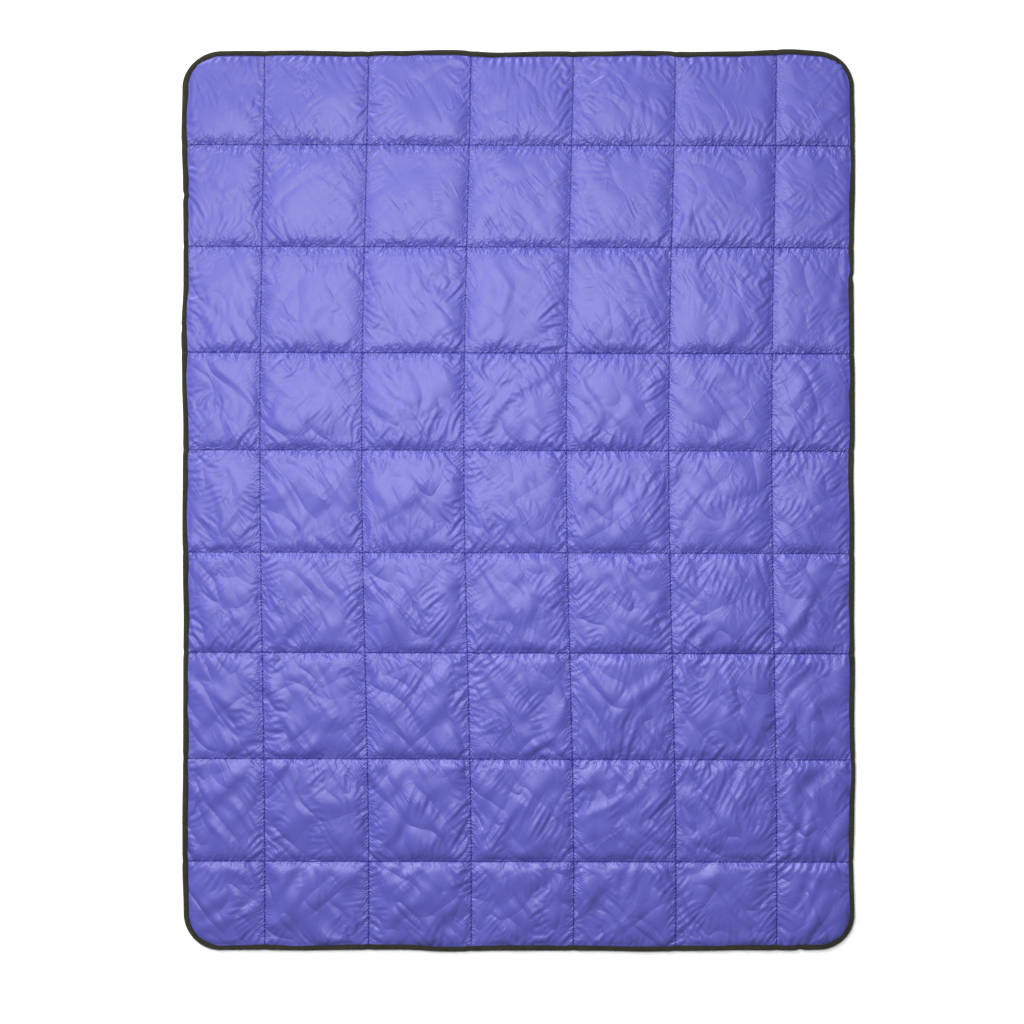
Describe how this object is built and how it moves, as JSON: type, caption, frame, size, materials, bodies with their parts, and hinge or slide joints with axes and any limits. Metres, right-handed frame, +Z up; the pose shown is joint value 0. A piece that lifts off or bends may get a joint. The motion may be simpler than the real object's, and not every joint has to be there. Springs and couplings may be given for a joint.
{
  "type": "camp blanket",
  "caption": "Rectangular puffy camp blanket, quilted in a square grid and bound all round with woven tape, with fold-over head and foot ends.",
  "frame": {"origin": "on the ground under the middle of the blanket, which lies flat with its face up", "axes": "+X across the blanket to its right-hand side, +Y towards its head end, +Z up"},
  "size_m": [1.52, 2.036, 0.024],
  "materials": {
    "face_cloth": "periwinkle nylon taffeta, slight sheen, puckered along the seams",
    "back_cloth": "the same periwinkle nylon taffeta as the face",
    "batting": "white hollow-fibre polyester batting",
    "binding_tape": "matt dark olive woven polyester tape",
    "quilting_thread": "dark blue polyester sewing thread",
    "binding_thread": "dark olive polyester sewing thread"
  },
  "bodies": {
    "centre": {"face_shell_centre": "face_cloth", "batting_centre": "batting", "back_shell_centre": "back_cloth", "binding_left": "binding_tape", "binding_needle_thread_left": "binding_thread", "binding_bobbin_thread_left": "binding_thread", "binding_right": "binding_tape", "binding_needle_thread_right": "binding_thread", "binding_bobbin_thread_right": "binding_thread", "needle_thread_lengthwise_1_centre": "quilting_thread", "needle_thread_lengthwise_2_centre": "quilting_thread", "needle_thread_lengthwise_3_centre": "quilting_thread", "needle_thread_lengthwise_4_centre": "quilting_thread", "needle_thread_lengthwise_5_centre": "quilting_thread", "needle_thread_lengthwise_6_centre": "quilting_thread", "needle_thread_cross_3": "quilting_thread", "needle_thread_cross_4": "quilting_thread", "needle_thread_cross_5": "quilting_thread", "needle_thread_cross_6": "quilting_thread", "bobbin_threads_centre": "quilting_thread"},
    "head_flap": {"face_shell_head": "face_cloth", "batting_head": "batting", "back_shell_head": "back_cloth", "binding_head": "binding_tape", "binding_needle_thread_head": "binding_thread", "binding_bobbin_thread_head": "binding_thread", "needle_thread_lengthwise_1_head": "quilting_thread", "needle_thread_lengthwise_2_head": "quilting_thread", "needle_thread_lengthwise_3_head": "quilting_thread", "needle_thread_lengthwise_4_head": "quilting_thread", "needle_thread_lengthwise_5_head": "quilting_thread", "needle_thread_lengthwise_6_head": "quilting_thread", "needle_thread_cross_1": "quilting_thread", "needle_thread_cross_2": "quilting_thread", "bobbin_threads_head": "quilting_thread"},
    "foot_flap": {"face_shell_foot": "face_cloth", "batting_foot": "batting", "back_shell_foot": "back_cloth", "binding_foot": "binding_tape", "binding_needle_thread_foot": "binding_thread", "binding_bobbin_thread_foot": "binding_thread", "needle_thread_lengthwise_1_foot": "quilting_thread", "needle_thread_lengthwise_2_foot": "quilting_thread", "needle_thread_lengthwise_3_foot": "quilting_thread", "needle_thread_lengthwise_4_foot": "quilting_thread", "needle_thread_lengthwise_5_foot": "quilting_thread", "needle_thread_lengthwise_6_foot": "quilting_thread", "needle_thread_cross_7": "quilting_thread", "needle_thread_cross_8": "quilting_thread", "bobbin_threads_foot": "quilting_thread"}
  },
  "joints": [
    {"name": "head_fold", "type": "hinge", "parent": "centre", "child": "head_flap", "pos_m": [0, 0.5724, 0.0245], "axis": [1, 0, 0], "range_deg": [0, 180]},
    {"name": "foot_fold", "type": "hinge", "parent": "centre", "child": "foot_flap", "pos_m": [0, -0.5819, 0.0245], "axis": [-1, 0, 0], "range_deg": [0, 180]}
  ]
}
